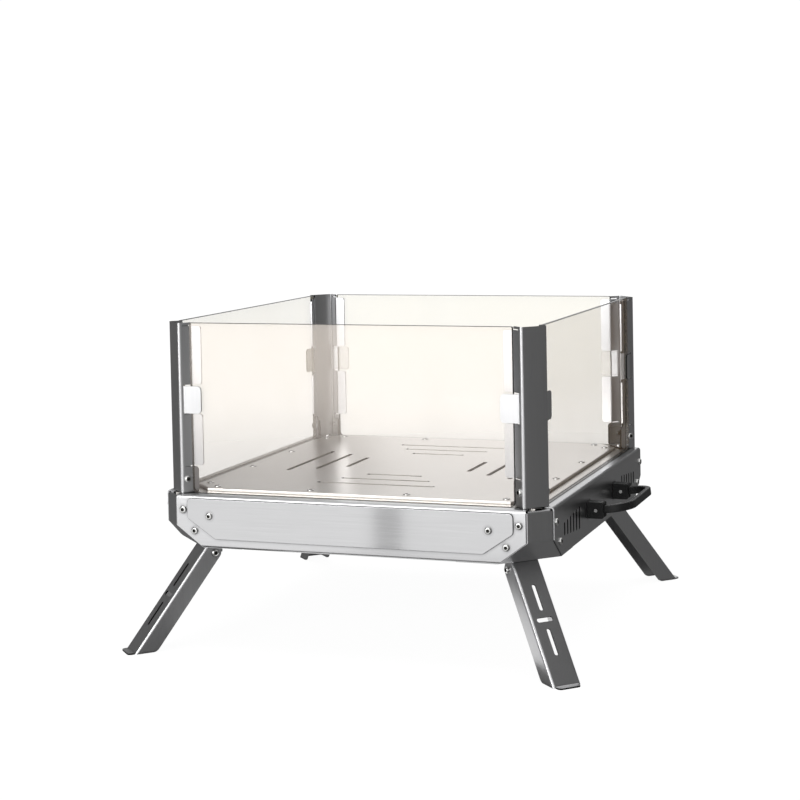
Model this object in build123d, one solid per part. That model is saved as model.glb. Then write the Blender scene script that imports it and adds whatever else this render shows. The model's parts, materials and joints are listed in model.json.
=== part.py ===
import os
from math import atan2, cos, radians, sin, sqrt, tan

from build123d import *

# Camping wood stove with four glass walls, a vented sheet-metal base and folding legs.
# Millimetres, +Z up. The origin is on the ground under the middle, and the front faces -Y.

# Overall sizes
base_half = 205.0          # centre to the outer face of each side panel
base_height = 53.0         # side panels, bottom edge to rim
base_lift = 105.0          # ground to the base's underside
wall_height = 172.5        # base rim to the top of the posts and panes

# Sheet metal
sheet = 1.5                # thickness of every folded sheet
bend = 1.5                 # inner radius of a fold
seat_gap = 0.1             # parts that rest on each other
slide_gap = 0.5            # glass to the sheet that guides it

# Fasteners
screw_radius = 2.0
screw_gap = 0.05           # shank to hole
screw_tail = 1.5           # shank beyond the last sheet
head_radius = 3.8
head_height = 2.2
head_chamfer = 0.9

# Base panels and corners
corner_cut = 22.0          # chamfer of the upright corner face, along the panel
corner_face_height = 31.5  # upright part of the corner, below the rim
undercut = 51.0            # chamfer at the base's underside, along the panel
rim_width = 9.5            # panel's top flange
foot_flange = 9.0          # panel's bottom flange
tab_start = 49.5           # corner tab behind the panel, in from the panel's face
shelf_depth = 36.0         # corner shelf, in from the upright corner face
fold_relief = 3.5          # notch at each end of the shelf's fold
corner_screws = ((28.5, 15.0), (41.4, 36.2))   # in from the side, down from the rim

# Bottom pan
pan_wall = 10.0
pan_gap = 0.2

# Cover plate on the front panel
cover_thickness = 1.5
cover_top = 3.6            # down from the rim
cover_side = 34.2          # in from the side
cover_shoulder = 23.0      # down from the rim to the slanted edge
cover_foot = 64.5          # in from the side, at the lower edge
cover_bottom = 43.4        # down from the rim
cover_corner = 4.0
cover_screw = (58.4, 20.5) # in from the side, down from the rim

# Vents in the side panels
vent_count = 6
vent_width = 4.0
vent_pitch = 11.1
vent_first = 91.0          # centre line of the panel to the first vent
vent_drop = 27.8           # rim to the middle of the vents
vent_longest = 23.0
vent_step = 2.0            # each vent is this much shorter than the one before

# Top frame and fire plate
frame_drop = 0.2           # rim to the frame's top face
frame_side_gap = 1.1       # panel flange to the frame
frame_corner = 3.0         # corner face to the frame's cut corner
frame_width = 29.4         # outer edge to the opening
frame_wall = 10.0
plate_overlap = 15.0       # frame's opening to the plate's edge
plate_rise = 3.2           # rim to the plate's top face
plate_corner = 19.0
plate_edge_radius = 1.0
slot_width = 5.0
slot_first = 68.8          # centre to the nearest slot
slot_pitch = 27.5
slot_lengths = (61.0, 98.0, 128.0)
plate_screw_inset = 9.5
plate_screw_end = 26.0     # plate's edge to the outermost screw along it
plate_screw_count = 4      # along each edge
plate_screw_length = 6.0
plate_head_height = 1.0
plate_head_chamfer = 0.5

# Glass panes
glass_thickness = 4.0
glass_corner = 6.0
glass_top_corner = 1.5
glass_edge = 0.4

# Posts
post_half = 14.5           # half the post's width across its flanges
tab_root = 4.9             # web to the fold of the glass tab
lip_width = 10.5
tab_width = 19.0
post_gap = 0.5             # base rim to the post's lower edge
ear_height = 26.0
ear_depth = 19.0
relief = 1.2               # slit between two folds
tab_bottom = 81.0          # up from the base rim
tab_height = 27.5
top_margin = 3.5
tab_corner = 4.0
lip_corner = 3.0
ear_corner = 4.0
ear_screw_in = 7.2         # from the web's outer face
ear_screw_up = 14.4        # from the base rim
ear_screw_length = 5.0
bracket_gap = 0.15
bracket_end_gap = 1.0      # bracket to the post's inner fold
bracket_height = 22.0
bracket_rivet_in = 14.0    # from the web's outer face
bracket_rivet_length = 6.0

# Legs
leg_splay = 37.5           # degrees from upright
leg_width = 30.0
leg_depth = 18.6
leg_setback = 11.85        # underside corner edge to the leg's outer face
leg_stop_gap = 0.3
pivot_drop = 11.0          # base's underside to the leg pivot
pivot_edge = 6.6           # leg's free edge to the pivot
foot_lip = 6.5
foot_corner = 8.0
foot_tip = 4.0
foot_lift = 0.5            # ground to the flanges' cut ends
foot_bend_height = 14.0
leg_slot_length = 27.0
leg_slot_width = 4.0
leg_slot_middle = 59.5     # pivot to the cross slot, along the leg
leg_slot_spacing = 22.8    # cross slot to each long slot
cross_slot_length = 17.0
cross_slot_width = 4.5
leg_bracket_gap = 0.3
leg_bracket_in = 8.5       # pivot to the inner edge of the bracket's top
leg_bracket_out = 3.2      # pivot to the outer edge of the bracket's top
leg_bracket_round = 6.5
leg_head_gap = 0.15
bracket_screw_side = 6.5
bracket_screw_length = 7.0
corner_floor_in = 12.0     # pivot to the inner edge of the corner's floor

# Handles
handle_drop = 26.2         # rim to the handle's pivot
handle_out = 9.0           # panel to the pivot
handle_spread = 54.0       # centre line of the panel to the middle of a block
block_width = 14.0
block_depth = 17.0
block_above = 8.5          # pivot to the block's top
block_below = 8.0
block_back = 3.0
block_corner = 2.0
bail_thickness = 6.0
bail_height = 8.0
bail_reach = 36.0          # pivot to the bail's outer face
bail_bend = 18.0
bail_round = 1.0
bail_side_gap = 0.5
bail_top_gap = 0.3
bail_tilt = 7.0            # degrees that the bail rests above level
handle_pin_radius = 1.8
handle_screw_length = 4.4

root2 = sqrt(2)
base_top = base_lift + base_height
wall_top = base_top + wall_height
frame_top = base_top - frame_drop
frame_half = base_half - rim_width - frame_side_gap
frame_opening = frame_half - frame_width
plate_half = frame_opening + plate_overlap
corner_r = (2 * base_half - corner_cut) / root2
under_r = (2 * base_half - undercut) / root2
knee_z = base_top - corner_face_height
glass_face = base_half - rim_width - slide_gap
glass_back = glass_face - glass_thickness
glass_half = glass_back - post_half * root2 - slide_gap
tab_face = glass_face + slide_gap + sheet
web_r = tab_face * root2 - post_half + tab_root
splay = radians(leg_splay)
tilt = radians(bail_tilt)
leg_web = leg_depth - pivot_edge
pivot_z = base_lift - pivot_drop
leg_top_r = under_r - leg_setback
pivot_r = leg_top_r - (leg_web - pivot_drop * sin(splay)) / cos(splay)
floor_r = pivot_r - corner_floor_in

corners = {"front_left": -135, "front_right": -45, "back_right": 45, "back_left": 135}
sides = {"front": 0, "right": 90, "back": 180, "left": 270}
far = 2 * base_half + wall_height      # longer than anything that it cuts

MIDDLE = Align.CENTER
LOW = Align.MIN
HIGH = Align.MAX


def bent_section(path, thickness, inner_radius):
    """Section of a folded strip: path is one face, and the thickness lies on its left."""
    points = [Vector(*p) for p in path]
    ways = [(b - a).normalized() for a, b in zip(points, points[1:])]
    normals = [Vector(-w.Y, w.X) for w in ways]
    back = [points[0] + normals[0] * thickness]
    face_radii = []
    back_radii = []
    for point, before, after in zip(points[1:-1], normals, normals[1:]):
        back.append(point + (before + after) * (thickness / (1 + before.dot(after))))
        turns_left = before.cross(after).Z > 0
        face_radii.append(inner_radius + thickness if turns_left else inner_radius)
        back_radii.append(inner_radius if turns_left else inner_radius + thickness)
    back.append(points[-1] + normals[-1] * thickness)
    face_line = FilletPolyline(*points, radius=face_radii)
    back_line = FilletPolyline(*reversed(back), radius=back_radii[::-1])
    ends = [Line(face_line @ 1, back_line @ 0), Line(back_line @ 1, face_line @ 0)]
    return Face(Wire([*face_line.edges(), ends[0].edge(), *back_line.edges(), ends[1].edge()]))


def octagon(half, cut_r, z):
    """Square of the given half width whose corners are cut at a distance from the centre."""
    near = cut_r * root2 - half
    quarter = [(half, -near), (half, near), (near, half), (-near, half)]
    points = quarter + [(-x, -y) for x, y in quarter]
    return Pos(0, 0, z) * make_face(Polyline(*points, close=True))


def prism(outline, low, high):
    """Outline in plan, made solid between two heights."""
    return extrude(Pos(0, 0, low) * outline, high - low)


def slab(x_low, x_high, y_low, y_high, z_low, z_high):
    """Box between given planes."""
    size = (x_high - x_low, y_high - y_low, z_high - z_low)
    return Pos(x_low, y_low, z_low) * Box(*size, align=(LOW, LOW, LOW))


def rod(radius, start, end):
    """Cylinder between two points."""
    start = Vector(*start)
    way = Vector(*end) - start
    return Plane(start, z_dir=way) * Cylinder(radius, way.length, align=(MIDDLE, MIDDLE, LOW))


def screw(seat, way, length, height=head_height, edge=head_chamfer):
    """Button-head screw: its head's underside is at seat, and its shank runs along way."""
    head = Cylinder(head_radius, height, align=(MIDDLE, MIDDLE, HIGH))
    head = chamfer(head.faces().sort_by(Axis.Z)[0].edges(), edge)
    body = head + Cylinder(screw_radius, length, align=(MIDDLE, MIDDLE, LOW))
    return Plane(seat, z_dir=way) * body


def hole(seat, way, length, radius=screw_radius + screw_gap):
    """Clearance bore along a screw, open at both ends."""
    seat = Vector(*seat)
    way = Vector(*way).normalized()
    return rod(radius, seat - way * head_height, seat + way * (length + head_height))


def at_corner(name, shape):
    """Turns a shape whose +X points out through the corner to the corner with this name."""
    return Rot(0, 0, corners[name]) * shape


def on_side(name, shape):
    """Turns a shape made for the front to the side with this name."""
    return Rot(0, 0, sides[name]) * shape


def panel_blank():
    """Folded side panel at the front: upright sheet, rim flange and bottom flange."""
    section = bent_section(
        [
            (base_half - foot_flange, base_lift),
            (base_half, base_lift),
            (base_half, base_top),
            (base_half - rim_width, base_top),
        ],
        sheet,
        bend,
    )
    side_plane = Plane((base_half, 0, 0), x_dir=(0, -1, 0), z_dir=(-1, 0, 0))
    panel = extrude(side_plane * section, 2 * base_half)
    top_half = base_half - corner_cut
    low_half = base_half - undercut
    upright = Polyline(
        (top_half, base_top),
        (top_half, knee_z),
        (low_half, base_lift),
        (-low_half, base_lift),
        (-top_half, knee_z),
        (-top_half, base_top),
        close=True,
    )
    panel = panel & extrude(Plane.XZ * make_face(upright), far)
    flange_half = floor_r * root2 - base_half
    for way in (-1, 1):
        low, high = sorted((way * flange_half, way * base_half))
        notch_top = base_lift + sheet + bend
        panel -= slab(low, high, -base_half + sheet, -base_half + 2 * foot_flange, base_lift, notch_top)
    for spot in panel_screw_spots():
        panel -= hole(spot, (0, 1, 0), sheet)
    return panel


def panel_screw_spots():
    """Screw seats on the front panel, two near each end."""
    return [
        (way * (base_half - inset), -base_half, base_top - drop)
        for inset, drop in corner_screws
        for way in (-1, 1)
    ]


def cover_screw_spots():
    """Screw seats on the cover plate."""
    inset, drop = cover_screw
    return [(way * (base_half - inset), -base_half - cover_thickness, base_top - drop) for way in (-1, 1)]


def cover_plate():
    """Flat plate with slanted lower corners, screwed on the front panel."""
    wide = base_half - cover_side
    narrow = base_half - cover_foot
    half = [
        (wide, base_top - cover_top),
        (wide, base_top - cover_shoulder),
        (narrow, base_top - cover_bottom),
    ]
    outline = make_face(Polyline(*half, *[(-x, z) for x, z in reversed(half)], close=True))
    outline = fillet(outline.vertices(), cover_corner)
    plate = extrude(Plane((0, -base_half, 0), x_dir=(1, 0, 0), z_dir=(0, -1, 0)) * outline, cover_thickness)
    for spot in cover_screw_spots():
        plate -= hole(spot, (0, 1, 0), sheet + cover_thickness)
    return plate


def front_panel():
    panel = panel_blank()
    for spot in cover_screw_spots():
        panel -= hole(spot, (0, 1, 0), sheet + cover_thickness)
    return panel


def vented_panel():
    """Side panel with two fans of vents and the screw holes of the handle blocks."""
    panel = panel_blank()
    for step in range(vent_count):
        length = vent_longest - step * vent_step
        for way in (-1, 1):
            across = way * (vent_first + step * vent_pitch)
            vent = SlotOverall(length, vent_width, rotation=90)
            plane = Plane((across, -base_half, base_top - vent_drop), x_dir=(1, 0, 0), z_dir=(0, -1, 0))
            panel -= extrude(plane * vent, sheet * 2, both=True)
    for spot in handle_screw_spots():
        panel -= hole(spot, (0, -1, 0), sheet)
    return panel


def slope_r(z):
    """Distance from the centre to the undercut face of the corner at a height."""
    return under_r + (corner_r - under_r) * (z - base_lift) / (knee_z - base_lift)


def corner_piece():
    """Folded corner: floor, undercut, upright face and shelf, with a tab behind each panel."""
    inside = base_half - sheet
    shelf_top = frame_top - sheet
    section = bent_section(
        [
            (floor_r, base_lift),
            (under_r, base_lift),
            (corner_r, knee_z),
            (corner_r, shelf_top),
            (corner_r - shelf_depth, shelf_top),
        ],
        sheet,
        bend,
    )
    strip = extrude(Plane.XZ * section, far, both=True)
    fold_low = base_top - sheet - bend
    fold_half = corner_cut / root2 - fold_relief
    strip -= prism(Rectangle(far, far), fold_low, base_top) - slab(0, far, -fold_half, fold_half, 0, far)
    piece = Rot(0, 0, 45) * strip & slab(0, inside, 0, inside, base_lift, base_top)
    hull = prism(octagon(inside, corner_r, 0), knee_z, fold_low)
    hull += loft([octagon(inside, under_r, base_lift), octagon(inside, corner_r, knee_z)], ruled=True)
    start = base_half - tab_start
    tab_low = base_lift + sheet + bend
    piece += hull & slab(start, inside, inside - sheet, inside, tab_low, fold_low)
    piece += hull & slab(inside - sheet, inside, start, inside, tab_low, fold_low)
    for across, outwards, height in panel_screw_spots():
        if across > 0:
            piece -= hole((across, -outwards, height), (0, -1, 0), 2 * sheet)
            piece -= hole((-outwards, across, height), (-1, 0, 0), 2 * sheet)
    for spot in bracket_screw_spots():
        piece -= Rot(0, 0, 45) * hole(spot, (0, 0, 1), bracket_screw_length)
    for spot in rivet_spots():
        piece -= Rot(0, 0, 45) * hole(spot, (0, 0, -1), bracket_rivet_length)
    return Rot(0, 0, -45) * piece


def bottom_pan():
    """Tray that closes the base below and catches the ash."""
    floor_low = base_lift + sheet
    half = base_half - 2 * sheet - pan_gap
    slope = atan2(corner_r - under_r, knee_z - base_lift)
    cut_r = slope_r(floor_low) - sheet / cos(slope) - bend - pan_gap
    pan = prism(octagon(half, cut_r, 0), floor_low, floor_low + sheet + pan_wall)
    inner = octagon(half - sheet, cut_r - sheet, 0)
    pan -= prism(inner, floor_low + sheet, floor_low + sheet + pan_wall)
    for angle in corners.values():
        for spot in bracket_screw_spots():
            pan -= Rot(0, 0, angle) * hole(spot, (0, 0, 1), bracket_screw_length)
    return pan


def frame():
    """Square ring on the corner shelves: it carries the glass, the posts and the fire plate."""
    low = frame_top - sheet
    ring = prism(octagon(frame_half, corner_r - frame_corner, 0), low, frame_top)
    wall_half = frame_opening + sheet
    ring += slab(-wall_half, wall_half, -wall_half, wall_half, frame_top - frame_wall, low)
    ring -= slab(-frame_opening, frame_opening, -frame_opening, frame_opening, 0, far)
    for angle in corners.values():
        for spot in rivet_spots():
            ring -= Rot(0, 0, angle) * hole(spot, (0, 0, -1), bracket_rivet_length)
    for spot in plate_screw_spots():
        ring -= hole(spot, (0, 0, -1), plate_screw_length)
    return ring


def plate_screw_spots():
    """Screw seats round the edge of the fire plate."""
    edge = plate_half - plate_screw_inset
    height = base_top + plate_rise
    end = plate_half - plate_screw_end
    step = 2 * end / (plate_screw_count - 1)
    places = [-end + i * step for i in range(plate_screw_count)]
    along = [(way * edge, place, height) for place in places for way in (-1, 1)]
    return along + [(y, x, z) for x, y, z in along]


def fire_plate():
    """Slotted plate with a turned-down edge that stands on the frame."""
    top = base_top + plate_rise
    cut_r = (2 * plate_half - plate_corner) / root2
    plate = prism(octagon(plate_half, cut_r, 0), frame_top, top)
    plate = fillet(plate.faces().sort_by(Axis.Z)[-1].edges(), plate_edge_radius)
    plate -= prism(octagon(plate_half - sheet, cut_r - sheet, 0), frame_top, top - sheet)
    slots = []
    for step, length in enumerate(slot_lengths):
        distance = slot_first + step * slot_pitch
        for angle in sides.values():
            slots.append(Rot(0, 0, angle) * Pos(0, -distance, top) * SlotOverall(length, slot_width))
    for slot in slots:
        plate -= extrude(slot, 2 * sheet, both=True)
    for spot in plate_screw_spots():
        plate -= hole(spot, (0, 0, -1), plate_screw_length)
    return plate


def pane():
    """Glass pane at the front, standing on the frame between the posts."""
    low = frame_top + seat_gap
    outline = Pos(0, low) * Rectangle(2 * glass_half, wall_top - low, align=(MIDDLE, LOW))
    outline = fillet(outline.vertices().sort_by(Axis.Y)[:2], glass_corner)
    outline = fillet(outline.vertices().sort_by(Axis.Y)[-2:], glass_top_corner)
    plane = Plane((0, -glass_back, 0), x_dir=(1, 0, 0), z_dir=(0, -1, 0))
    glass = extrude(plane * outline, glass_thickness)
    flats = glass.faces().sort_by(Axis.Y)
    return chamfer(flats[0].edges() + flats[-1].edges(), glass_edge)


def straight_section(end_r):
    """Section of the post where its flanges stay straight."""
    path = [(end_r, -post_half), (web_r, -post_half), (web_r, post_half), (end_r, post_half)]
    return bent_section(path, sheet, bend)


def folded_section(plane_distance, strip):
    """Section of the post where its flanges turn to run along the glass."""
    turn_r = plane_distance * root2 - post_half
    reach = strip / root2
    half = [(turn_r - reach, post_half + reach), (turn_r, post_half), (web_r, post_half)]
    return bent_section([(r, -t) for r, t in half] + half[::-1], sheet, bend)


def post_length(section, low, high, corner_radius=0.0):
    """Stretch of the post, with the free corners of its folds rounded."""
    stretch = prism(section, low, high)
    if corner_radius:
        tips = stretch.edges().filter_by(GeomType.LINE).filter_by(lambda e: abs(e.length - sheet) < 1e-4)
        stretch = fillet(tips, corner_radius)
    return stretch


def post():
    """Folded corner post. Its lips back the glass, and a tab holds the glass from outside."""
    root = straight_section(tab_face * root2 - post_half)
    lip = folded_section(glass_back - slide_gap, lip_width)
    tab = folded_section(tab_face, tab_width)
    ear = straight_section(web_r - ear_depth)
    crown = straight_section((glass_back - slide_gap) * root2 - post_half)
    low = base_top + post_gap
    ear_top = low + ear_height
    tab_low = base_top + tab_bottom
    tab_top = tab_low + tab_height
    stretches = [
        post_length(ear, low, ear_top, ear_corner),
        post_length(root, ear_top, ear_top + relief),
        post_length(lip, ear_top + relief, tab_low - relief, lip_corner),
        post_length(root, tab_low - relief, tab_low),
        post_length(tab, tab_low, tab_top, tab_corner),
        post_length(root, tab_top, tab_top + relief),
        post_length(lip, tab_top + relief, wall_top - top_margin, lip_corner),
        post_length(root, wall_top - top_margin, wall_top - top_margin + relief),
        post_length(crown, wall_top - top_margin + relief, wall_top),
    ]
    whole = stretches[0].fuse(*stretches[1:]).clean()
    for seat, way in ear_screw_spots():
        whole -= hole(seat, way, ear_screw_length)
    return whole


def ear_screw_spots():
    """Screw seats on the two ears of a post, with the way each screw points."""
    place = (web_r - ear_screw_in, post_half, base_top + ear_screw_up)
    return [((place[0], way * place[1], place[2]), (0, -way, 0)) for way in (-1, 1)]


def rivet_spots():
    """Rivet seats on the foot of the post bracket."""
    return [(web_r - bracket_rivet_in, 0, frame_top + sheet)]


def post_bracket():
    """U-shaped bracket between the ears of a post, riveted on the frame."""
    half = post_half - sheet - bracket_gap
    top = frame_top + bracket_height
    path = [(half, top), (half, frame_top), (-half, frame_top), (-half, top)]
    section = bent_section(path[::-1], sheet, bend)
    inner = web_r - ear_depth
    plane = Plane((inner, 0, 0), x_dir=(0, 1, 0), z_dir=(1, 0, 0))
    bracket = extrude(plane * section, ear_depth - sheet - bend - bracket_end_gap)
    for seat, way in ear_screw_spots():
        bracket -= hole(seat, way, ear_screw_length)
    for spot in rivet_spots():
        bracket -= hole(spot, (0, 0, -1), bracket_rivet_length)
    return bracket


def leg_line(offset, z):
    """Distance from the centre to a line along the leg, offset outwards from the pivot."""
    return pivot_r + offset / cos(splay) + (pivot_z - z) * tan(splay)


def leg_plane(along, out):
    """Plane on the leg: X points up along the leg and Z points out of the web."""
    origin = (
        pivot_r + along * sin(splay) + out * cos(splay),
        0,
        pivot_z - along * cos(splay) + out * sin(splay),
    )
    return Plane(origin, x_dir=(-sin(splay), 0, cos(splay)), z_dir=(cos(splay), 0, sin(splay)))


def leg():
    """Folded channel leg, open towards the stove, with a foot turned out at its end."""
    half = leg_width / 2
    channel = bent_section(
        [(-leg_depth, -half), (leg_web, -half), (leg_web, half), (-leg_depth, half)], sheet, bend
    )
    reach = base_lift / cos(splay)
    below = leg_plane(reach + leg_depth, 0)
    end = Plane(below.origin, x_dir=below.z_dir, z_dir=below.x_dir)
    channel = extrude(end * channel, reach + 2 * leg_depth)
    top_z = base_lift - leg_stop_gap
    outline = Polyline(
        (leg_line(leg_web, top_z), top_z),
        (leg_line(leg_web, foot_lift), foot_lift),
        (leg_line(-pivot_edge, foot_lift), foot_lift),
        (pivot_r - pivot_edge * cos(splay), pivot_z - pivot_edge * sin(splay)),
        (pivot_r - pivot_edge * sin(splay), pivot_z + pivot_edge * cos(splay)),
        close=True,
    )
    side = make_face(outline)
    inner_foot = side.vertices().sort_by_distance((leg_line(-pivot_edge, foot_lift), foot_lift, 0))[0]
    side = fillet(inner_foot, foot_corner)
    side += Pos(pivot_r, pivot_z) * Circle(pivot_edge)
    channel = channel & extrude(Plane.XZ * side, far, both=True)
    lip_path = [
        (leg_line(leg_web, sheet) + foot_lip, sheet),
        (leg_line(leg_web, sheet), sheet),
        (leg_line(leg_web, foot_bend_height), foot_bend_height),
    ]
    flat_half = half - sheet - bend
    foot = extrude(Plane.XZ * bent_section(lip_path, sheet, bend), flat_half, both=True)
    tips = foot.faces().sort_by(Axis.X)[-1].edges().filter_by(Axis.Z)
    foot = fillet(tips, foot_tip)
    whole = channel + foot
    for way in (-1, 1):
        place = leg_plane(leg_slot_middle + way * leg_slot_spacing, leg_web)
        whole -= extrude(place * SlotOverall(leg_slot_length, leg_slot_width), 2 * sheet, both=True)
    cross = leg_plane(leg_slot_middle, leg_web) * SlotOverall(
        cross_slot_length, cross_slot_width, rotation=90
    )
    whole -= extrude(cross, 2 * sheet, both=True)
    return whole - rod(screw_radius + screw_gap, (pivot_r, -leg_width, pivot_z), (pivot_r, leg_width, pivot_z))


def leg_bracket():
    """U-shaped bracket under the base that carries the leg's pivot."""
    half = leg_width / 2 - sheet - leg_bracket_gap
    low = pivot_z - leg_bracket_round
    path = [(half, low), (half, base_lift), (-half, base_lift), (-half, low)]
    section = bent_section(path, sheet, bend)
    bracket = extrude(Plane.YZ * section, far)
    side = slab(pivot_r - leg_bracket_in, pivot_r + leg_bracket_out, -half, half, pivot_z, base_lift)
    side += rod(leg_bracket_round, (pivot_r, -half, pivot_z), (pivot_r, half, pivot_z))
    bracket = bracket & side
    bracket -= rod(screw_radius + screw_gap, (pivot_r, -leg_width, pivot_z), (pivot_r, leg_width, pivot_z))
    for spot in bracket_screw_spots():
        bracket -= hole(spot, (0, 0, 1), bracket_screw_length)
    return bracket


def bracket_screw_spots():
    """Screw seats under the leg bracket's top."""
    return [(pivot_r, way * bracket_screw_side, base_lift - sheet) for way in (-1, 1)]


def leg_pin():
    """Pivot through both flanges of the leg, with a button head on each end."""
    reach = leg_width / 2 + leg_head_gap
    halves = [screw((pivot_r, way * reach, pivot_z), (0, -way, 0), reach) for way in (-1, 1)]
    return halves[0] + halves[1]


def handle_screw_spots():
    """Screw seats on the inner face of the side panel, one behind each handle block."""
    height = base_top - handle_drop + (block_above - block_below) / 2
    return [(way * handle_spread, -base_half + sheet, height) for way in (-1, 1)]


def handle_block(way):
    """Clevis block on the front side, open outwards and below for the bail's arm."""
    pivot = base_top - handle_drop
    middle = way * handle_spread
    outer = -base_half - block_depth
    block = slab(
        middle - block_width / 2,
        middle + block_width / 2,
        outer,
        -base_half,
        pivot - block_below,
        pivot + block_above,
    )
    outer_edges = block.faces().sort_by(Axis.Y)[0].edges().filter_by(Axis.X)
    block = fillet(outer_edges, block_corner)
    slot_half = bail_thickness / 2 + bail_side_gap
    arm_top = bail_height / 2 / cos(tilt) + (block_depth - handle_out) * tan(tilt)
    block -= slab(
        middle - slot_half,
        middle + slot_half,
        outer - block_depth,
        -base_half - block_back,
        pivot - 2 * block_below,
        pivot + arm_top + bail_top_gap,
    )
    pin_start, pin_end = handle_pin_ends(way)
    block -= rod(handle_pin_radius + screw_gap, pin_start, pin_end)
    for spot in handle_screw_spots():
        block -= hole(spot, (0, -1, 0), handle_screw_length)
    return block


def handle_pin_ends(way):
    """Ends of the pin through a handle block, flush with its cheeks."""
    pivot = base_top - handle_drop
    depth = -base_half - handle_out
    edges = [way * handle_spread + end * block_width / 2 for end in (-1, 1)]
    return (edges[0], depth, pivot), (edges[1], depth, pivot)


def bail():
    """Flat bar bent into a U, hung between the two blocks of the front side."""
    pivot = base_top - handle_drop
    half = handle_spread + bail_thickness / 2
    arm_round = bail_height / 2
    near = -base_half - handle_out + arm_round
    outer = -base_half - handle_out - bail_reach
    path = [(-half, near), (-half, outer), (half, outer), (half, near)]
    section = bent_section(path, bail_thickness, bail_bend)
    bar = prism(section, pivot - arm_round, pivot + arm_round)
    corner_edges = bar.faces().sort_by(Axis.Z)[-1].edges() + bar.faces().sort_by(Axis.Z)[0].edges()
    keep = [e for e in corner_edges if e.center().Y < near - arm_round]
    bar = fillet(keep, bail_round)
    side = slab(-far, far, outer - bail_reach, near - arm_round, pivot - arm_round, pivot + arm_round)
    side += rod(arm_round, (-far, near - arm_round, pivot), (far, near - arm_round, pivot))
    bar = bar & side
    bar -= rod(handle_pin_radius + screw_gap, (-far, near - arm_round, pivot), (far, near - arm_round, pivot))
    hinge = Pos(0, near - arm_round, pivot)
    return hinge * Rot(-bail_tilt, 0, 0) * hinge.inverse() * bar


nodes = {
    "bottom_pan": bottom_pan(),
    "top_frame": frame(),
    "fire_plate": fire_plate(),
    "front_panel": front_panel(),
    "back_panel": on_side("back", panel_blank()),
    "cover_plate": cover_plate(),
}

corner = corner_piece()
channel_post = post()
ear_bracket = post_bracket()
channel_leg = leg()
pivot_bracket = leg_bracket()
pivot_pin = leg_pin()
for name in corners:
    nodes["corner_" + name] = at_corner(name, corner)
    nodes["post_" + name] = at_corner(name, channel_post)
    nodes["post_bracket_" + name] = at_corner(name, ear_bracket)
    nodes["leg_" + name] = at_corner(name, channel_leg)
    nodes["leg_bracket_" + name] = at_corner(name, pivot_bracket)
    nodes["leg_pin_" + name] = at_corner(name, pivot_pin)

glass = pane()
for name in sides:
    nodes["glass_" + name] = on_side(name, glass)

side_panel = vented_panel()
side_bail = bail()
for name in ("left", "right"):
    nodes[name + "_panel"] = on_side(name, side_panel)
    nodes["bail_" + name] = on_side(name, side_bail)
    nodes["handle_pins_" + name] = on_side(
        name, Compound([rod(handle_pin_radius, *handle_pin_ends(way)) for way in (-1, 1)])
    )
    for end, way in (("a", -1), ("b", 1)):
        nodes["handle_block_" + name + "_" + end] = on_side(name, handle_block(way))

panel_screws = [screw(spot, (0, 1, 0), 2 * sheet + screw_tail) for spot in panel_screw_spots()]
cover_screw_length = cover_thickness + sheet + screw_tail
cover_screws = [screw(spot, (0, 1, 0), cover_screw_length) for spot in cover_screw_spots()]
post_screws = [screw(seat, way, ear_screw_length) for seat, way in ear_screw_spots()]
bracket_screws = [screw(spot, (0, 0, 1), bracket_screw_length) for spot in bracket_screw_spots()]
rivets = [screw(spot, (0, 0, -1), bracket_rivet_length) for spot in rivet_spots()]
handle_screws = [screw(spot, (0, -1, 0), handle_screw_length) for spot in handle_screw_spots()]
plate_screws = [
    screw(spot, (0, 0, -1), plate_screw_length, plate_head_height, plate_head_chamfer)
    for spot in plate_screw_spots()
]
nodes["panel_screws"] = Compound([on_side(name, s) for name in sides for s in panel_screws])
nodes["cover_screws"] = Compound(cover_screws)
nodes["post_screws"] = Compound([at_corner(name, s) for name in corners for s in post_screws])
nodes["leg_bracket_screws"] = Compound([at_corner(name, s) for name in corners for s in bracket_screws])
nodes["post_bracket_rivets"] = Compound([at_corner(name, s) for name in corners for s in rivets])
nodes["handle_screws"] = Compound([on_side(name, s) for name in ("left", "right") for s in handle_screws])
nodes["plate_screws"] = Compound(plate_screws)

os.makedirs("parts", exist_ok=True)
for name, shape in nodes.items():
    export_step(shape, "parts/" + name + ".step")
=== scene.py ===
import json
from math import atan2, cos, degrees, radians, sin

import bmesh
import bpy
from mathutils import Matrix, Vector


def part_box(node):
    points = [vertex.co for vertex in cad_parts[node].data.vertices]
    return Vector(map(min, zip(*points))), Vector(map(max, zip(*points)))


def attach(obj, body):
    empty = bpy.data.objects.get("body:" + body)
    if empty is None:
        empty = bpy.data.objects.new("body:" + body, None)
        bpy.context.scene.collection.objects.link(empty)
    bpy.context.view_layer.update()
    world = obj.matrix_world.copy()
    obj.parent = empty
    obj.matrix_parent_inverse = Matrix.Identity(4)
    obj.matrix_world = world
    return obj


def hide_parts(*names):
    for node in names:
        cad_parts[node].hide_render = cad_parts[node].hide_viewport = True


# Camping wood stove: folded stainless sheet, hazy heat-proof glass, black handles.
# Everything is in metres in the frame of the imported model.

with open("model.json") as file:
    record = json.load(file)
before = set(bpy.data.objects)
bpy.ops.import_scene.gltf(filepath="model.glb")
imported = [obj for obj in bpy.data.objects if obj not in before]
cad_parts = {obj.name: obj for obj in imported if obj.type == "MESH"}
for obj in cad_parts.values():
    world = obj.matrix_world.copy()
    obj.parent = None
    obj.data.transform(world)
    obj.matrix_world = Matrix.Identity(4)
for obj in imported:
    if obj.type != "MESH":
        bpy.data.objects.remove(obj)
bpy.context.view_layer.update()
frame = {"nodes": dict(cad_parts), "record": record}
nodes = frame["nodes"]
body_of_node = {
    node: body
    for body, members in frame["record"]["behaviour"]["bodies"].items()
    for node in members
}

MM = 0.001

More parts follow.
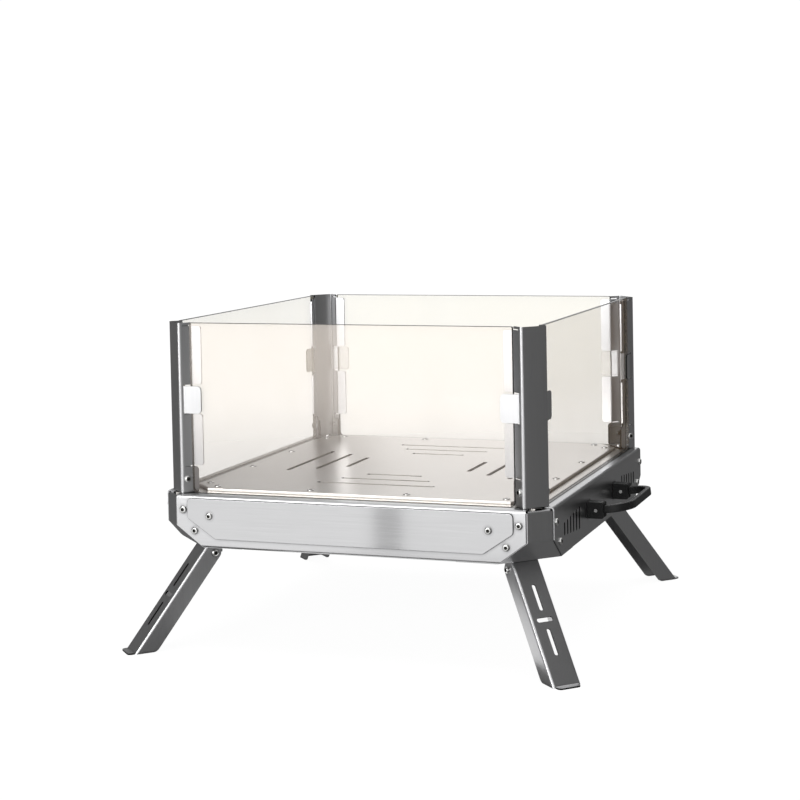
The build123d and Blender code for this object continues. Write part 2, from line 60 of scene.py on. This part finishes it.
# View of the photograph
camera_place = Vector((659.3, -1793.3, 481.7)) * MM
camera_turn = 19.11        # degrees to the right of the stove's front
camera_pitch = 2.53        # degrees below level
camera_roll = -1.075
camera_lens = 79.88
camera_sensor = 36.0
camera_shift = (-0.0574, -0.1925)

# Brushed grain. Real lines lie about 0.1 mm apart and would not show, so they are drawn coarser.
line_spacing = 0.9 * MM
line_length = 60 * MM
brush_patch = 90 * MM      # patches where the brush pressed more or less
patch_range = (0.15, 0.38)   # lines times patches, from the darkest grain to the lightest
line_shade = 0.95          # darkest grain, as a share of the tone
line_gloss = 0.04          # roughness that the lines add or take
line_depth = 0.05 * MM
line_bump = 0.03

# Painted shade in the seams between sheets, where the surroundings close in
seam_reach = 3.5 * MM
seam_tone = 0.2
seam_range = (0.5, 0.95)   # share of open surroundings, from a full seam to none

# Spots on fasteners and laser cuts
spot_size = 2.5 * MM
spot_shade = 0.85          # darkest spots, as a share of the tone

# Black coat and nylon
coat_bump = 0.2
coat_depth = 0.06 * MM
uneven_gloss = (-0.05, 0.08)   # roughness that a texture takes or adds

# Glass
glass_ior = 1.5
glass_gloss = 0.05
veil_size = 70 * MM        # clouds of smoke haze
veil_swing = 0.02          # alpha that a cloud adds or takes
pale_share = 0.6           # share of the pane's height above which the haze is as pale as it gets
rim_grit = 1.5 * MM        # coarser than the real grinding, which would not show
rim_gloss = (0.2, 0.35)
pane_normal = 0.9          # a face that looks this squarely outwards is the pane and not its rim

# Button-head screws
head_segments = 24
head_share = 0.9           # drawn heads against the solid ones, whose rim is a plain chamfer
head_height = 2.2 * MM
low_head_height = 1.0 * MM
crown_share = 0.68         # head's flat top, as a share of its radius
crown_steps = 4
socket_share = 0.56        # hex socket across corners, as a share of the head's diameter
rim_share = 0.30           # upright rim of the head, as a share of its height
socket_depth = 1.7 * MM
shank_share = 0.52         # shank radius, as a share of the head's radius
least_head = 2.4 * MM      # an end wider than this is a head
least_round = 8            # a round end has more corners than this

# Sheet edges
edge_bevel = 0.25 * MM
block_bevel = 0.3 * MM
pin_bevel = 0.2 * MM
bevel_segments = 2
cut_width = 1.7 * MM
longest_shaded_cut = 28 * MM    # longer cuts mirror the room and keep the sheet's own tone
any_length = 1.0           # longer than any edge of the stove
smooth_angle = radians(32)
merge_distance = 0.002 * MM
flat_angle = radians(0.5)

# Floor and room
floor_half = 8.0
floor_tone = "#F6F6F6"
floor_roughness = 0.9
floor_white = 1.04
floor_share = (0.92, 1.0)  # paint that glows by itself, near the stove and far away
floor_fade = (0.5, 1.3)    # distances from the stove between which it changes
room_light = 0.5           # strength of the white room on the stove itself

# Lamps: place, point that they face, size and watts
top_lamp = ((0.0, 0.1, 1.9), (0.0, 0.0, 0.2), (1.8, 1.8), 28)
front_lamp = ((-0.8, -2.3, 0.75), (0.0, 0.0, 0.25), (1.3, 1.0), 24)

# Dark mat on the floor, which only the steel mirrors. It lies in strips round a gap under the stove.
mat_half = 1.6
mat_front = -0.34
mat_back = 3.5
mat_gap = (-0.12, -0.24, 0.14, 0.10)   # left, front, right and back edge
mat_fore = (-0.12, -0.42)  # left and front edge of a strip further forward
mat_side = (0.14, -0.75)   # left and front edge of the strip in front of that one
mat_lift = 0.5 * MM

# Upright cards, which only the steel mirrors: left end, right end and top
dark_glow = 0.14
card_glow = 0.6
dark_flags = {
    "flag_left": ((-1.2, -1.7), (-1.2, 1.8), 2.4),
    "flag_right": ((1.2, -1.7), (1.2, 1.8), 2.4),
    "flag_behind": ((-0.06, 1.8), (1.3, 1.8), 1.1),
}
grey_cards = {
    "card_behind": ((-1.6, 1.8), (-0.76, 1.8), 1.1),
    "card_in_front": ((-0.054, -0.42), (-0.022, -0.42), 0.12),
}


def linear(hex_colour):
    """Linear colour for a shader from an sRGB hex value."""
    parts = [int(hex_colour[i:i + 2], 16) / 255 for i in (1, 3, 5)]
    return tuple(c / 12.92 if c <= 0.04045 else ((c + 0.055) / 1.055) ** 2.4 for c in parts) + (1.0,)


def shaded(colour, share):
    """Linear colour at a share of its brightness."""
    return tuple(c * share for c in colour[:3]) + (1.0,)


def add(tree, kind, settings=None, **inputs):
    """Adds a node with its settings, and sets or links each input, named or numbered as _0."""
    node = tree.nodes.new(kind)
    for name, value in (settings or {}).items():
        setattr(node, name, value)
    for name, value in inputs.items():
        socket = node.inputs[int(name[1:]) if name.startswith("_") else name.replace("_", " ")]
        if isinstance(value, bpy.types.NodeSocket):
            tree.links.new(value, socket)
        else:
            socket.default_value = value
    return node


def new_material(name):
    """Material with a Principled shader, its tree and the position on the piece."""
    material = bpy.data.materials.new(name)
    material.use_nodes = True
    tree = material.node_tree
    shader = tree.nodes["Principled BSDF"]
    place = add(tree, "ShaderNodeTexCoord").outputs["Object"]
    return material, tree, shader, place


def brushed_steel(name, grain, tone, roughness, own_seams=False):
    """Stainless sheet with a brushed grain: fine lines run along one axis and break the gloss. Painted shade
    darkens it at seams.
    """
    material, tree, shader, place = new_material(name)
    scale = [1 / line_length if axis == grain else 1 / line_spacing for axis in "XYZ"]
    mapped = add(tree, "ShaderNodeMapping", Vector=place, Scale=scale).outputs[0]
    lines = add(tree, "ShaderNodeTexNoise", Vector=mapped, Scale=1.0, Detail=3.0).outputs[0]
    clouds = add(tree, "ShaderNodeTexNoise", Vector=place, Scale=1 / brush_patch, Detail=2.0).outputs[0]
    light = linear(tone)
    dark = shaded(light, line_shade)
    both = add(tree, "ShaderNodeMath", {"operation": "MULTIPLY"}, _0=lines, _1=clouds).outputs[0]
    darkest, lightest = patch_range
    grey = add(tree, "ShaderNodeMapRange", _0=both, _1=darkest, _2=lightest).outputs[0]
    colour = add(tree, "ShaderNodeMix", {"data_type": "RGBA"}, _0=grey, _6=dark, _7=light).outputs[2]

    # Painted shade: the base colour darkens where ambient occlusion finds the surroundings closed in
    seams = {"samples": 8, "only_local": own_seams}
    opening = add(tree, "ShaderNodeAmbientOcclusion", seams, Distance=seam_reach).outputs["AO"]
    shut, clear = seam_range
    seam = add(tree, "ShaderNodeMapRange", _0=opening, _1=shut, _2=clear, _3=seam_tone, _4=1.0).outputs[0]
    seam_shaded = add(tree, "ShaderNodeMix", {"data_type": "RGBA", "blend_type": "MULTIPLY"}, _0=1.0, _6=colour,
                 _7=seam).outputs[2]
    tree.links.new(seam_shaded, shader.inputs["Base Color"])

    gloss = add(tree, "ShaderNodeMapRange", _0=lines, _3=roughness - line_gloss,
                _4=roughness + line_gloss).outputs[0]
    tree.links.new(gloss, shader.inputs["Roughness"])
    bump = add(tree, "ShaderNodeBump", Strength=line_bump, Distance=line_depth, Height=lines).outputs[0]
    tree.links.new(bump, shader.inputs["Normal"])
    shader.inputs["Metallic"].default_value = 1.0
    return material


def machined_steel(name, tone, roughness):
    """Turned, tumbled or laser-cut stainless: no grain, and a tone and gloss that vary in spots."""
    material, tree, shader, place = new_material(name)
    spots = add(tree, "ShaderNodeTexNoise", Vector=place, Scale=1 / spot_size, Detail=2.0).outputs[0]
    smoother, rougher = uneven_gloss
    gloss = add(tree, "ShaderNodeMapRange", _0=spots, _3=roughness + smoother,
                _4=roughness + rougher).outputs[0]
    tree.links.new(gloss, shader.inputs["Roughness"])
    light = linear(tone)
    dark = shaded(light, spot_shade)
    colour = add(tree, "ShaderNodeMix", {"data_type": "RGBA"}, _0=spots, _6=dark, _7=light).outputs[2]
    tree.links.new(colour, shader.inputs["Base Color"])
    shader.inputs["Metallic"].default_value = 1.0
    return material


def stove_glass(name, low_tone, high_tone, haze_low, haze_high, painted_glow=0.0):
    """Heat-proof glass with a warm, milky haze that is paler and denser towards its upper edge, and a painted
    sheen: it glows a little in its own tone.
    """
    material, tree, shader, place = new_material(name)
    height = add(tree, "ShaderNodeSeparateXYZ", Vector=place).outputs[2]
    low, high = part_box("glass_front")
    pale_from = low[2] + pale_share * (high[2] - low[2])
    pale = add(tree, "ShaderNodeMapRange", {"interpolation_type": "SMOOTHSTEP"}, _0=height, _1=low[2],
               _2=pale_from).outputs[0]
    tone = add(tree, "ShaderNodeMix", {"data_type": "RGBA"}, _0=pale, _6=linear(low_tone),
               _7=linear(high_tone)).outputs[2]
    tree.links.new(tone, shader.inputs["Base Color"])
    # Emission in the pane's own tone: a painted sheen
    tree.links.new(tone, shader.inputs["Emission Color"])
    shader.inputs["Emission Strength"].default_value = painted_glow

    haze = add(tree, "ShaderNodeMapRange", _0=height, _1=low[2], _2=high[2], _3=haze_low,
               _4=haze_high).outputs[0]
    veil = add(tree, "ShaderNodeTexNoise", Vector=place, Scale=1 / veil_size, Detail=1.0).outputs[0]
    soft = add(tree, "ShaderNodeMapRange", _0=veil, _3=-veil_swing, _4=veil_swing).outputs[0]
    alpha = add(tree, "ShaderNodeMath", {"operation": "ADD"}, _0=haze, _1=soft).outputs[0]
    tree.links.new(alpha, shader.inputs["Alpha"])
    shader.inputs["Roughness"].default_value = glass_gloss
    shader.inputs["IOR"].default_value = glass_ior
    return material


def glass_rim(name, tone):
    """Ground edge of the panes: dark and greenish, where light has a long way through the glass."""
    material, tree, shader, place = new_material(name)
    grain = add(tree, "ShaderNodeTexNoise", Vector=place, Scale=1 / rim_grit).outputs[0]
    smoother, rougher = rim_gloss
    gloss = add(tree, "ShaderNodeMapRange", _0=grain, _3=smoother, _4=rougher).outputs[0]
    tree.links.new(gloss, shader.inputs["Roughness"])
    shader.inputs["Base Color"].default_value = linear(tone)
    shader.inputs["IOR"].default_value = glass_ior
    return material


def black_finish(name, tone, roughness, grain):
    """Black coat or moulded nylon: a fine even texture keeps the gloss soft."""
    material, tree, shader, place = new_material(name)
    texture = add(tree, "ShaderNodeTexNoise", Vector=place, Scale=1 / grain, Detail=2.0).outputs[0]
    smoother, rougher = uneven_gloss
    gloss = add(tree, "ShaderNodeMapRange", _0=texture, _3=roughness + smoother,
                _4=roughness + rougher).outputs[0]
    tree.links.new(gloss, shader.inputs["Roughness"])
    bump = add(tree, "ShaderNodeBump", Strength=coat_bump, Distance=coat_depth, Height=texture).outputs[0]
    tree.links.new(bump, shader.inputs["Normal"])
    shader.inputs["Base Color"].default_value = linear(tone)
    return material


finishes = {
    # Satin stainless sheet, brushed along its length: a grey, soft gloss with fine streaks
    "sheet_along_x": brushed_steel("satin_brushed_stainless_x", "X", "#CDCDCE", 0.30),
    "sheet_along_y": brushed_steel("satin_brushed_stainless_y", "Y", "#BEBEBF", 0.30),
    "sheet_along_z": brushed_steel("satin_brushed_stainless_z", "Z", "#CDCDCE", 0.30),
    # The cover plate is brushed finer and mirrors the room more clearly
    "cover_sheet": brushed_steel("fine_brushed_stainless_cover", "X", "#D2D2D3", 0.15),
    # The plate and its frame get a paler tone as painted light, since they lie open to the light
    "plate_sheet_painted_light": brushed_steel("painted_light_brushed_stainless_plate", "X", "#EFEBE6", 0.30),
    # Painted shade darkens only the posts' own folds, and the glass that touches them is not taken for a seam
    "post_sheet": brushed_steel("satin_brushed_stainless_beside_glass", "Z", "#CDCDCE", 0.30, True),
    # Sheet inside the stove as the mill left it: duller and darker
    "hidden_sheet": brushed_steel("mill_finish_stainless", "X", "#BDBDBC", 0.40),
    # Turned and tumbled stainless fasteners, their tone raised near white as a painted highlight on the
    # crowns: bright small lights
    "screws": machined_steel("tumbled_stainless_screws_painted_highlight", "#F0F0EE", 0.18),
    # Laser-cut edges, partly dark with the laser's burn and partly painted shade in slots, vents and gaps:
    # thin dark outlines round the sheets
    "cut_edge": machined_steel("laser_cut_edge_and_painted_shade", "#191816", 0.5),
    # Broached hex sockets, darkened as painted shade since they see little light: dark hexagons
    "socket": machined_steel("painted_shade_hex_socket", "#3A3936", 0.5),
    # Smoked, hazy heat-proof glass: a warm milky veil, strongest on the front pane. The panes are lit and
    # shaded copies: the front and back glow a little as a painted sheen, and the right pane is darker as
    # painted shade
    "front_glass": stove_glass("milky_glass_front_painted_sheen", "#8E827A", "#FCF1E6", 0.13, 0.24, 0.04),
    "right_glass": stove_glass("milky_glass_right_painted_shade", "#9C8468", "#AC9070", 0.14, 0.14),
    "back_glass": stove_glass("milky_glass_back_and_left_painted_sheen", "#F0E6CA", "#F8F0D0", 0.12, 0.16, 0.05),
    # Ground glass edges: thin dark lines
    "glass_rim": glass_rim("ground_glass_edge", "#161714"),
    # Powder coat on the bails, and moulded nylon blocks: black with a soft, even gloss
    "handle_coat": black_finish("black_powder_coat", "#141415", 0.42, 0.7 * MM),
    "handle_nylon": black_finish("black_moulded_nylon", "#0E0E0F", 0.5, 0.9 * MM),
}


def merged_copy(node):
    """The solid's mesh with its loose triangles joined, as a bmesh."""
    mesh = bmesh.new()
    mesh.from_mesh(nodes[node].data)
    bmesh.ops.remove_doubles(mesh, verts=mesh.verts, dist=merge_distance)
    bmesh.ops.dissolve_limit(
        mesh, angle_limit=flat_angle, verts=mesh.verts, edges=mesh.edges, use_dissolve_boundaries=False
    )
    return mesh


def finished(mesh, node, *materials):
    """Piece from a bmesh, smooth across its small angles, in the place of a node."""
    for face in mesh.faces:
        face.smooth = True
    for edge in mesh.edges:
        if len(edge.link_faces) == 2 and edge.calc_face_angle(0.0) > smooth_angle:
            edge.smooth = False
    name = node + "_finished"
    data = bpy.data.meshes.new(name)
    mesh.to_mesh(data)
    mesh.free()
    for material in materials:
        data.materials.append(material)
    piece = bpy.data.objects.new(name, data)
    bpy.context.scene.collection.objects.link(piece)
    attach(piece, body_of_node[node])
    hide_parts(node)
    return piece


def soften(piece, width):
    """Breaks the sharp edges of a piece with a small round."""
    bevel = piece.modifiers.new("edges", "BEVEL")
    bevel.width = width
    bevel.segments = bevel_segments
    bevel.limit_method = "ANGLE"
    bevel.angle_limit = smooth_angle
    bevel.harden_normals = True


def mark_cut_edges(mesh, longest):
    """Gives the narrow faces across the sheet's thickness the second material, up to a length."""
    for face in mesh.faces:
        lengths = [edge.calc_length() for edge in face.edges]
        smooth = [edge.calc_length() for edge in face.edges if edge.calc_face_angle(0.0) < smooth_angle]
        narrow = 2 * face.calc_area() / sum(lengths) < cut_width
        if narrow and max(lengths) < longest and max(smooth, default=0.0) < cut_width:
            face.material_index = 1


def folded_sheet(node, material, longest_cut=longest_shaded_cut):
    """Finished copy of a piece of sheet, with its cut edges darker: partly burn, partly painted shade."""
    mesh = merged_copy(node)
    mark_cut_edges(mesh, longest_cut)
    soften(finished(mesh, node, material, finishes["cut_edge"]), edge_bevel)


def plain_piece(node, material, bevel=0.0):
    """Finished copy of a moulded, coated or turned piece."""
    piece = finished(merged_copy(node), node, material)
    if bevel:
        soften(piece, bevel)


def islands(mesh):
    """Sets of vertices that hang together, one for each separate solid of a node."""
    left = set(mesh.verts)
    found = []
    while left:
        queue = [left.pop()]
        group = set(queue)
        while queue:
            for edge in queue.pop().link_edges:
                for vert in edge.verts:
                    if vert in left:
                        left.remove(vert)
                        group.add(vert)
                        queue.append(vert)
        found.append(group)
    return found


def screw_heads(node):
    """Centre, way out, radius and reach of every head on a node's screws and pins."""
    mesh = merged_copy(node)
    heads = []
    for group in islands(mesh):
        faces = {face for vert in group for face in vert.link_faces}
        round_ends = [face for face in faces if len(face.verts) > least_round]
        flat = max(round_ends, key=lambda face: face.calc_area())
        axis = flat.normal.copy()
        middle = flat.calc_center_median()
        ends = []
        for way in (axis, -axis):
            far = max((vert.co - middle).dot(way) for vert in group)
            centre = middle + way * far
            tips = [vert.co for vert in group if (vert.co - centre).dot(way) > -merge_distance]
            ends.append((centre, way, max((tip - centre).length for tip in tips)))
        length = (ends[0][0] - ends[1][0]).length
        wide = [end for end in ends if end[2] > least_head]
        radius = max(((vert.co - middle) - axis * (vert.co - middle).dot(axis)).length for vert in group)
        heads += [(centre, way, radius, length / len(wide)) for centre, way, _ in wide]
    mesh.free()
    return heads


def ring_up(mesh, face, share, lift):
    """Extrudes a face, then scales it about the axis and lifts it. Returns the new end face."""
    result = bmesh.ops.extrude_face_region(mesh, geom=[face])
    end = next(item for item in result["geom"] if isinstance(item, bmesh.types.BMFace))
    bmesh.ops.delete(mesh, geom=[face], context="FACES_ONLY")
    bmesh.ops.scale(mesh, vec=(share, share, 1), verts=end.verts)
    bmesh.ops.translate(mesh, vec=(0, 0, lift), verts=end.verts)
    return end


def button_screw(mesh, centre, way, radius, length, height, socket=True):
    """Adds a button-head screw with a hex socket. Its crown is at centre and faces along way."""
    radius *= head_share
    one = bmesh.new()
    bmesh.ops.create_circle(one, cap_ends=True, segments=head_segments, radius=radius * shank_share)
    end = ring_up(one, next(iter(one.faces)), 1.0, length - height)
    end = ring_up(one, end, 1 / shank_share, 0.0)
    end = ring_up(one, end, 1.0, height * rim_share)
    wide = 1.0
    risen = 0.0
    for step in range(1, crown_steps + 1):
        turn = radians(90 * step / crown_steps)
        share = crown_share + (1 - crown_share) * cos(turn)
        end = ring_up(one, end, share / wide, height * (1 - rim_share) * (sin(turn) - risen))
        wide = share
        risen = sin(turn)
    if socket:
        end = ring_up(one, end, socket_share / crown_share, 0.0)
        for vert in end.verts:
            angle = degrees(atan2(vert.co.y, vert.co.x)) % 60 - 30
            flat = cos(radians(30)) / cos(radians(angle))
            vert.co.x *= flat
            vert.co.y *= flat
        end = ring_up(one, end, 1.0, -socket_depth)
        # The socket's walls and floor take the second material, dark as painted shade
        for face in {face for vert in end.verts for face in vert.link_faces}:
            face.material_index = 1
    bmesh.ops.recalc_face_normals(one, faces=one.faces)
    turned = way.to_track_quat("Z", "Y").to_matrix().to_4x4()
    bmesh.ops.transform(one, matrix=Matrix.Translation(centre - way * length) @ turned, verts=one.verts)
    part = bpy.data.meshes.new("one_screw")
    one.to_mesh(part)
    one.free()
    mesh.from_mesh(part)
    bpy.data.meshes.remove(part)


def screws(node, height=head_height, socket=True):
    """Detailed screws in the places of a node's plain ones."""
    mesh = bmesh.new()
    for centre, way, radius, length in screw_heads(node):
        button_screw(mesh, centre, way, radius, length, height, socket)
    finished(mesh, node, finishes["screws"], finishes["socket"])


def pane(side, material):
    """Glass pane with its ground edges in a denser finish, which the steel doesn't mirror."""
    node = "glass_" + side
    mesh = merged_copy(node)
    low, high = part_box(node)
    thin = min(range(2), key=lambda i: high[i] - low[i])
    for face in mesh.faces:
        face.material_index = 0 if abs(face.normal[thin]) > pane_normal else 1
    finished(mesh, node, material, finishes["glass_rim"]).visible_glossy = False


def stove():
    """Every piece of the stove, in its finish."""
    for side, grain in (("front", "x"), ("back", "x"), ("left", "y"), ("right", "y")):
        folded_sheet(side + "_panel", finishes["sheet_along_" + grain])
    # Every cut edge of the cover is dark: a painted shadow line round it
    folded_sheet("cover_plate", finishes["cover_sheet"], any_length)
    folded_sheet("top_frame", finishes["plate_sheet_painted_light"])
    folded_sheet("fire_plate", finishes["plate_sheet_painted_light"])
    folded_sheet("bottom_pan", finishes["hidden_sheet"])
    for corner in ("front_left", "front_right", "back_right", "back_left"):
        folded_sheet("corner_" + corner, finishes["sheet_along_z"])
        folded_sheet("post_" + corner, finishes["post_sheet"])
        folded_sheet("post_bracket_" + corner, finishes["hidden_sheet"])
        folded_sheet("leg_" + corner, finishes["sheet_along_z"])
        folded_sheet("leg_bracket_" + corner, finishes["hidden_sheet"])
        screws("leg_pin_" + corner)
    for side, glass in (("front", "front"), ("right", "right"), ("back", "back"), ("left", "back")):
        pane(side, finishes[glass + "_glass"])
    for side in ("left", "right"):
        plain_piece("bail_" + side, finishes["handle_coat"])
        for end in "ab":
            plain_piece("handle_block_" + side + "_" + end, finishes["handle_nylon"], block_bevel)
        plain_piece("handle_pins_" + side, finishes["screws"], pin_bevel)
    for place in ("panel", "cover", "post", "leg_bracket", "handle"):
        screws(place + "_screws")
    screws("plate_screws", low_head_height)
    screws("post_bracket_rivets", socket=False)


def camera():
    """Camera of the photograph."""
    data = bpy.data.cameras.new("photograph_view")
    data.sensor_width = camera_sensor
    data.lens = camera_lens
    data.shift_x, data.shift_y = camera_shift
    view = bpy.data.objects.new("photograph_view", data)
    turn = Matrix.Rotation(radians(camera_turn), 4, "Z")
    pitch = Matrix.Rotation(radians(90 - camera_pitch), 4, "X")
    roll = Matrix.Rotation(radians(camera_roll), 4, "Z")
    view.matrix_world = Matrix.Translation(camera_place) @ turn @ pitch @ roll
    bpy.context.scene.collection.objects.link(view)
    bpy.context.scene.camera = view


def softbox(name, place, aim, size, power):
    """Rectangular lamp that faces a point."""
    data = bpy.data.lights.new(name, "AREA")
    data.shape = "RECTANGLE"
    data.size, data.size_y = size
    data.energy = power
    lamp = bpy.data.objects.new(name, data)
    lamp.location = place
    lamp.rotation_euler = (Vector(aim) - Vector(place)).to_track_quat("-Z", "Y").to_euler()
    bpy.context.scene.collection.objects.link(lamp)
    return lamp


def plane(name, corners, material):
    """Flat stage piece from its four corners."""
    mesh = bmesh.new()
    mesh.faces.new([mesh.verts.new(corner) for corner in corners])
    data = bpy.data.meshes.new(name)
    mesh.to_mesh(data)
    mesh.free()
    data.materials.append(material)
    piece = bpy.data.objects.new(name, data)
    bpy.context.scene.collection.objects.link(piece)
    return piece


def mirrored_only(name, corners, material):
    """Flat stage piece that shows only where the steel mirrors it."""
    piece = plane(name, corners, material)
    piece.visible_camera = False
    piece.visible_diffuse = False
    piece.visible_transmission = False
    piece.visible_shadow = False


def to_eye(tree):
    """1 for the rays that show the white surroundings: camera, glass and mirror rays."""
    rays = add(tree, "ShaderNodeLightPath").outputs
    seen = add(tree, "ShaderNodeMath", {"operation": "MAXIMUM"}, _0=rays["Is Camera Ray"],
               _1=rays["Is Transmission Ray"]).outputs[0]
    return add(tree, "ShaderNodeMath", {"operation": "MAXIMUM"}, _0=seen, _1=rays["Is Glossy Ray"]).outputs[0]


def glow(name, strength):
    """Stage paint of an even brightness."""
    material = bpy.data.materials.new(name)
    material.use_nodes = True
    tree = material.node_tree
    tree.nodes.clear()
    light = add(tree, "ShaderNodeEmission", Strength=strength).outputs[0]
    add(tree, "ShaderNodeOutputMaterial", Surface=light)
    return material


def floor():
    """Pale floor that glows white to the eye, a little less near the stove, and keeps its shadow."""
    paint, tree, shader, place = new_material("white_sweep")
    shader.inputs["Base Color"].default_value = linear(floor_tone)
    shader.inputs["Roughness"].default_value = floor_roughness
    white = add(tree, "ShaderNodeEmission", Strength=floor_white).outputs[0]
    away = add(tree, "ShaderNodeVectorMath", {"operation": "LENGTH"}, _0=place).outputs["Value"]
    near, far = floor_fade
    least, most = floor_share
    glowing = add(tree, "ShaderNodeMapRange", _0=away, _1=near, _2=far, _3=least, _4=most).outputs[0]
    share = add(tree, "ShaderNodeMath", {"operation": "MULTIPLY"}, _0=to_eye(tree), _1=glowing).outputs[0]
    mixed = add(tree, "ShaderNodeMixShader", _0=share, _1=shader.outputs[0], _2=white).outputs[0]
    tree.links.new(mixed, tree.nodes["Material Output"].inputs["Surface"])
    half = floor_half
    plane("floor", [(-half, -half, 0), (half, -half, 0), (half, half, 0), (-half, half, 0)], paint)


def mat_and_cards():
    """Dark mat, dark flags and grey cards round the stove, for the steel to mirror."""
    dark = glow("dark_cloth", dark_glow)
    grey = glow("grey_card", card_glow)
    gap_left, gap_front, gap_right, gap_back = mat_gap
    fore_left, fore_front = mat_fore
    side_left, side_front = mat_side
    strips = {
        "mat_fore": (fore_left, fore_front, mat_half, mat_front),
        "mat_front": (-mat_half, mat_front, mat_half, gap_front),
        "mat_back": (-mat_half, gap_back, mat_half, mat_back),
        "mat_left": (-mat_half, gap_front, gap_left, gap_back),
        "mat_right": (gap_right, gap_front, mat_half, gap_back),
        "mat_side": (side_left, side_front, mat_half, fore_front),
    }
    for name, (x0, y0, x1, y1) in strips.items():
        corners = [(x0, y0, mat_lift), (x1, y0, mat_lift), (x1, y1, mat_lift), (x0, y1, mat_lift)]
        mirrored_only(name, corners, dark)
    for cards, paint in ((dark_flags, dark), (grey_cards, grey)):
        for name, (left, right, top) in cards.items():
            mirrored_only(name, [(*left, 0), (*right, 0), (*right, top), (*left, top)], paint)


def lights():
    """Soft lamps, and a room that is white to the eye and dimmer on the stove."""
    # Hidden from the steel, so that it mirrors the white room there and not a burnt-out lamp
    softbox("top_softbox", *top_lamp).visible_glossy = False
    softbox("front_softbox", *front_lamp)
    world = bpy.data.worlds.new("white_room")
    bpy.context.scene.world = world
    world.use_nodes = True
    tree = world.node_tree
    background = tree.nodes["Background"]
    background.inputs["Color"].default_value = (1, 1, 1, 1)
    strength = add(tree, "ShaderNodeMapRange", _0=to_eye(tree), _3=room_light, _4=floor_white).outputs[0]
    tree.links.new(strength, background.inputs["Strength"])


stove()
camera()
floor()
mat_and_cards()
lights()
bpy.context.scene.view_settings.view_transform = "Standard"
